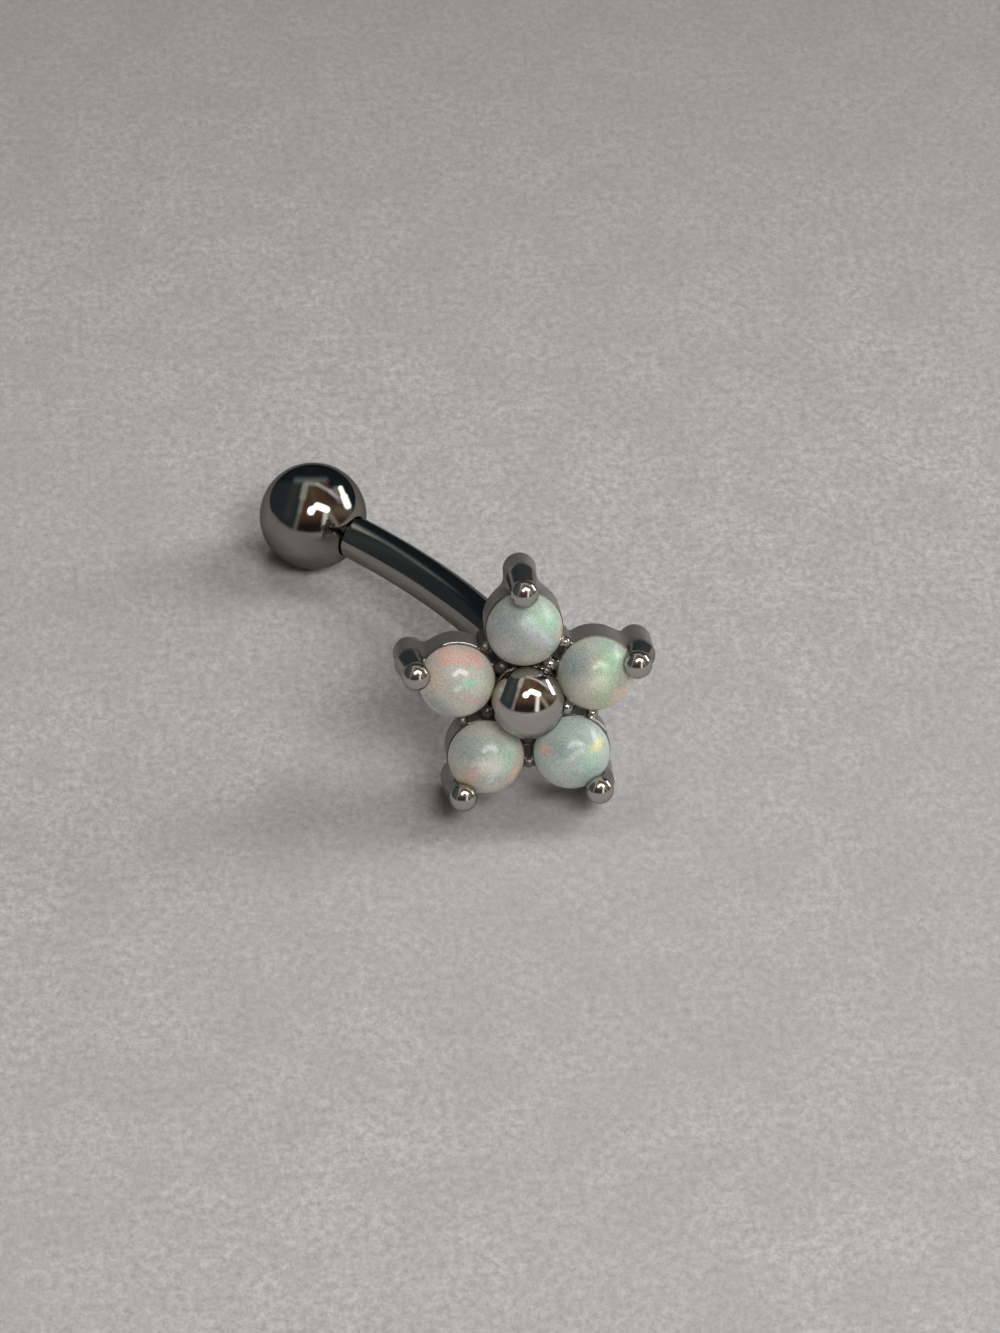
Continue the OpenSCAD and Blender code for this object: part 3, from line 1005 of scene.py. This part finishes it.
def area_light(name, azimuth, elevation, distance, wide, high, power, colour):
    """A soft light that gives shade but no reflection of its own. It spans wide by high degrees."""
    way = Vector((math.sin(math.radians(azimuth)) * math.cos(math.radians(elevation)),
                  math.cos(math.radians(azimuth)) * math.cos(math.radians(elevation)),
                  math.sin(math.radians(elevation))))
    lamp = bpy.data.lights.new(name, "AREA")
    lamp.shape = "RECTANGLE"
    lamp.size = 2 * distance * math.tan(math.radians(wide / 2)) * MM
    lamp.size_y = 2 * distance * math.tan(math.radians(high / 2)) * MM
    lamp.energy = power
    lamp.color = colour
    light = bpy.data.objects.new(name, lamp)
    bpy.context.scene.collection.objects.link(light)
    light.matrix_world = (Matrix.Translation(way * distance * MM)
                          @ way.to_track_quat("Z", "Y").to_matrix().to_4x4())
    light.visible_glossy = False
    light.visible_camera = False


def in_steel(red, green, blue):
    """The room's own light where the polished steel shows a colour."""
    return tuple(np.divide(shown(red, green, blue), STEEL))


# The room that the polish reflects, laid out as a mirror ball shows it from the camera:
# places are shares of the ball's radius, to the right and up, and colours as the steel shows them.
ROOM = in_steel(64, 47, 34)
ROOM_LOW = in_steel(26, 20, 18)
ROOM_LEFT = in_steel(33, 36, 37)
FAR_SIDE = in_steel(19, 25, 27)
NEAR_TABLE = in_steel(84, 80, 74)
LAMP = (1.0, 0.975, 0.925)
LAMP_SOFTNESS = 0.022

# Each streak: its colour, strength, two ends, half width and softness.
STREAKS = [
    ((74, 68, 54), 0.6, (-0.02, 0.46), (0.04, 0.28), 0.05, 0.07),
    ((40, 33, 32), 0.7, (0.28, 0.38), (0.42, 0.26), 0.05, 0.06),
    ((84, 78, 66), 0.8, (0.44, 0.10), (0.68, 0.06), 0.07, 0.08),
    ((58, 60, 54), 0.5, (-0.46, 0.0), (-0.34, 0.5), 0.04, 0.12),
    ((98, 100, 96), 0.9, (-0.30, 0.65), (0.22, 0.66), 0.03, 0.08),
    ((96, 90, 80), 0.9, (-0.33, -0.24), (-0.24, 0.08), 0.03, 0.03),
    ((108, 104, 93), 0.95, (-0.24, 0.08), (-0.18, 0.34), 0.035, 0.03),
    ((124, 122, 112), 0.95, (-0.18, 0.34), (-0.135, 0.57), 0.055, 0.035),
    ((130, 130, 122), 0.9, (-0.10, 0.60), (0.08, 0.585), 0.03, 0.04),
    ((150, 148, 144), 0.9, (0.08, 0.585), (0.33, 0.45), 0.026, 0.03),
    ((158, 155, 153), 0.9, (0.33, 0.45), (0.46, 0.34), 0.032, 0.03),
    ((124, 123, 120), 0.7, (0.42, 0.50), (0.50, 0.28), 0.04, 0.05),
    ((128, 120, 104), 0.75, (0.30, 0.06), (0.45, -0.17), 0.035, 0.05),
    ((192, 186, 176), 0.9, (0.24, 0.03), (0.22, -0.26), 0.04, 0.035),
]

# Each strip of the lamps: its two ends, half width and brightness.
LAMPS = [
    ((-0.03, 0.075), (-0.02, 0.10), 0.06, 8.0), ((-0.02, 0.10), (0.09, 0.18), 0.042, 8.0),
    ((0.09, 0.18), (0.26, 0.115), 0.056, 8.0), ((0.51, 0.52), (0.58, 0.36), 0.04, 5.0),
    ((0.58, 0.36), (0.65, 0.19), 0.06, 5.0),
]

# The light that the paper and the stones get from below and from above, and the wall beyond.
GLOW_BELOW = (0.07, 0.054, 0.042)
GLOW_ABOVE = (0.085, 0.072, 0.062)
WALL = shown(172, 171, 168)


def make_world():
    """The room: drawn out for the polish, an even glow for the rest, and a wall behind."""
    world = bpy.data.worlds.new("room")
    bpy.context.scene.world = world
    world.use_nodes = True
    world.cycles.sampling_method = "NONE"
    bench = Bench(world.node_tree)
    way = bench.make("ShaderNodeTexCoord", {}, {}, "Generated")
    half = bench.vector("NORMALIZE", bench.vector("ADD", way, tuple(VIEW[2])))
    right = bench.dot(half, tuple(VIEW[0]))
    up = bench.dot(half, tuple(VIEW[1]))
    height = bench.parts(way)[2]

    def strip(start, end, half_width, soft):
        """A mask along the line between two places."""
        line = np.subtract(end, start)
        length = float(np.hypot(*line))
        line = line / length
        from_right, from_up = right - start[0], up - start[1]
        along = from_right * line[0] + from_up * line[1]
        past = along - along.most(0.0).least(length)
        aside = from_up * line[0] - from_right * line[1]
        return (past ** 2 + aside ** 2).root().step(half_width + soft, half_width - soft)

    room = bench.cover(ROOM, ROOM_LOW, up.step(0.02, -0.22))
    room = bench.cover(room, ROOM_LEFT, (right - up * 0.24).step(-0.25, -0.29))
    room = bench.cover(room, FAR_SIDE, up.step(0.58, 0.68).most((right + up).step(0.80, 0.92)))
    room = bench.cover(room, NEAR_TABLE, height.step(0.07, 0.02) * up.step(0.1, 0.0))
    for colour, strength, start, end, half_width, soft in STREAKS:
        room = bench.cover(room, in_steel(*colour), strip(start, end, half_width, soft) * strength)
    for start, end, half_width, bright in LAMPS:
        lamp = tuple(bright * share for share in LAMP)
        room = bench.cover(room, lamp, strip(start, end, half_width, LAMP_SOFTNESS))

    rays = {name: bench.make("ShaderNodeLightPath", {}, {}, name)
            for name in ("Is Camera Ray", "Is Glossy Ray")}
    ambient = bench.cover(GLOW_BELOW, GLOW_ABOVE, height.step(-0.1, 0.9))
    seen = bench.cover(ambient, room, rays["Is Glossy Ray"])
    seen = bench.cover(seen, WALL, rays["Is Camera Ray"])
    surface = bench.make("ShaderNodeBackground", {}, {"Color": seen, "Strength": 1.0})
    bench.make("ShaderNodeOutputWorld", {}, {"Surface": surface})


# Each soft light: the degrees round from the far side and up, its distance, the degrees that it
# spans across and upwards, its watts and its colour.
LIGHTS = [
    ("window", 79, 32, 900, 20, 48, 4.5, (1.0, 0.985, 0.975)),
    ("lamp", 156, 47, 215, 27, 18, 0.212, (0.985, 0.99, 0.985)),
    ("ceiling", -5, 74, 600, 14, 14, 0.42, (0.99, 0.99, 0.99)),
]

make_camera()
make_paper()
make_world()
for light in LIGHTS:
    area_light(*light)
bpy.context.scene.view_settings.view_transform = "Standard"
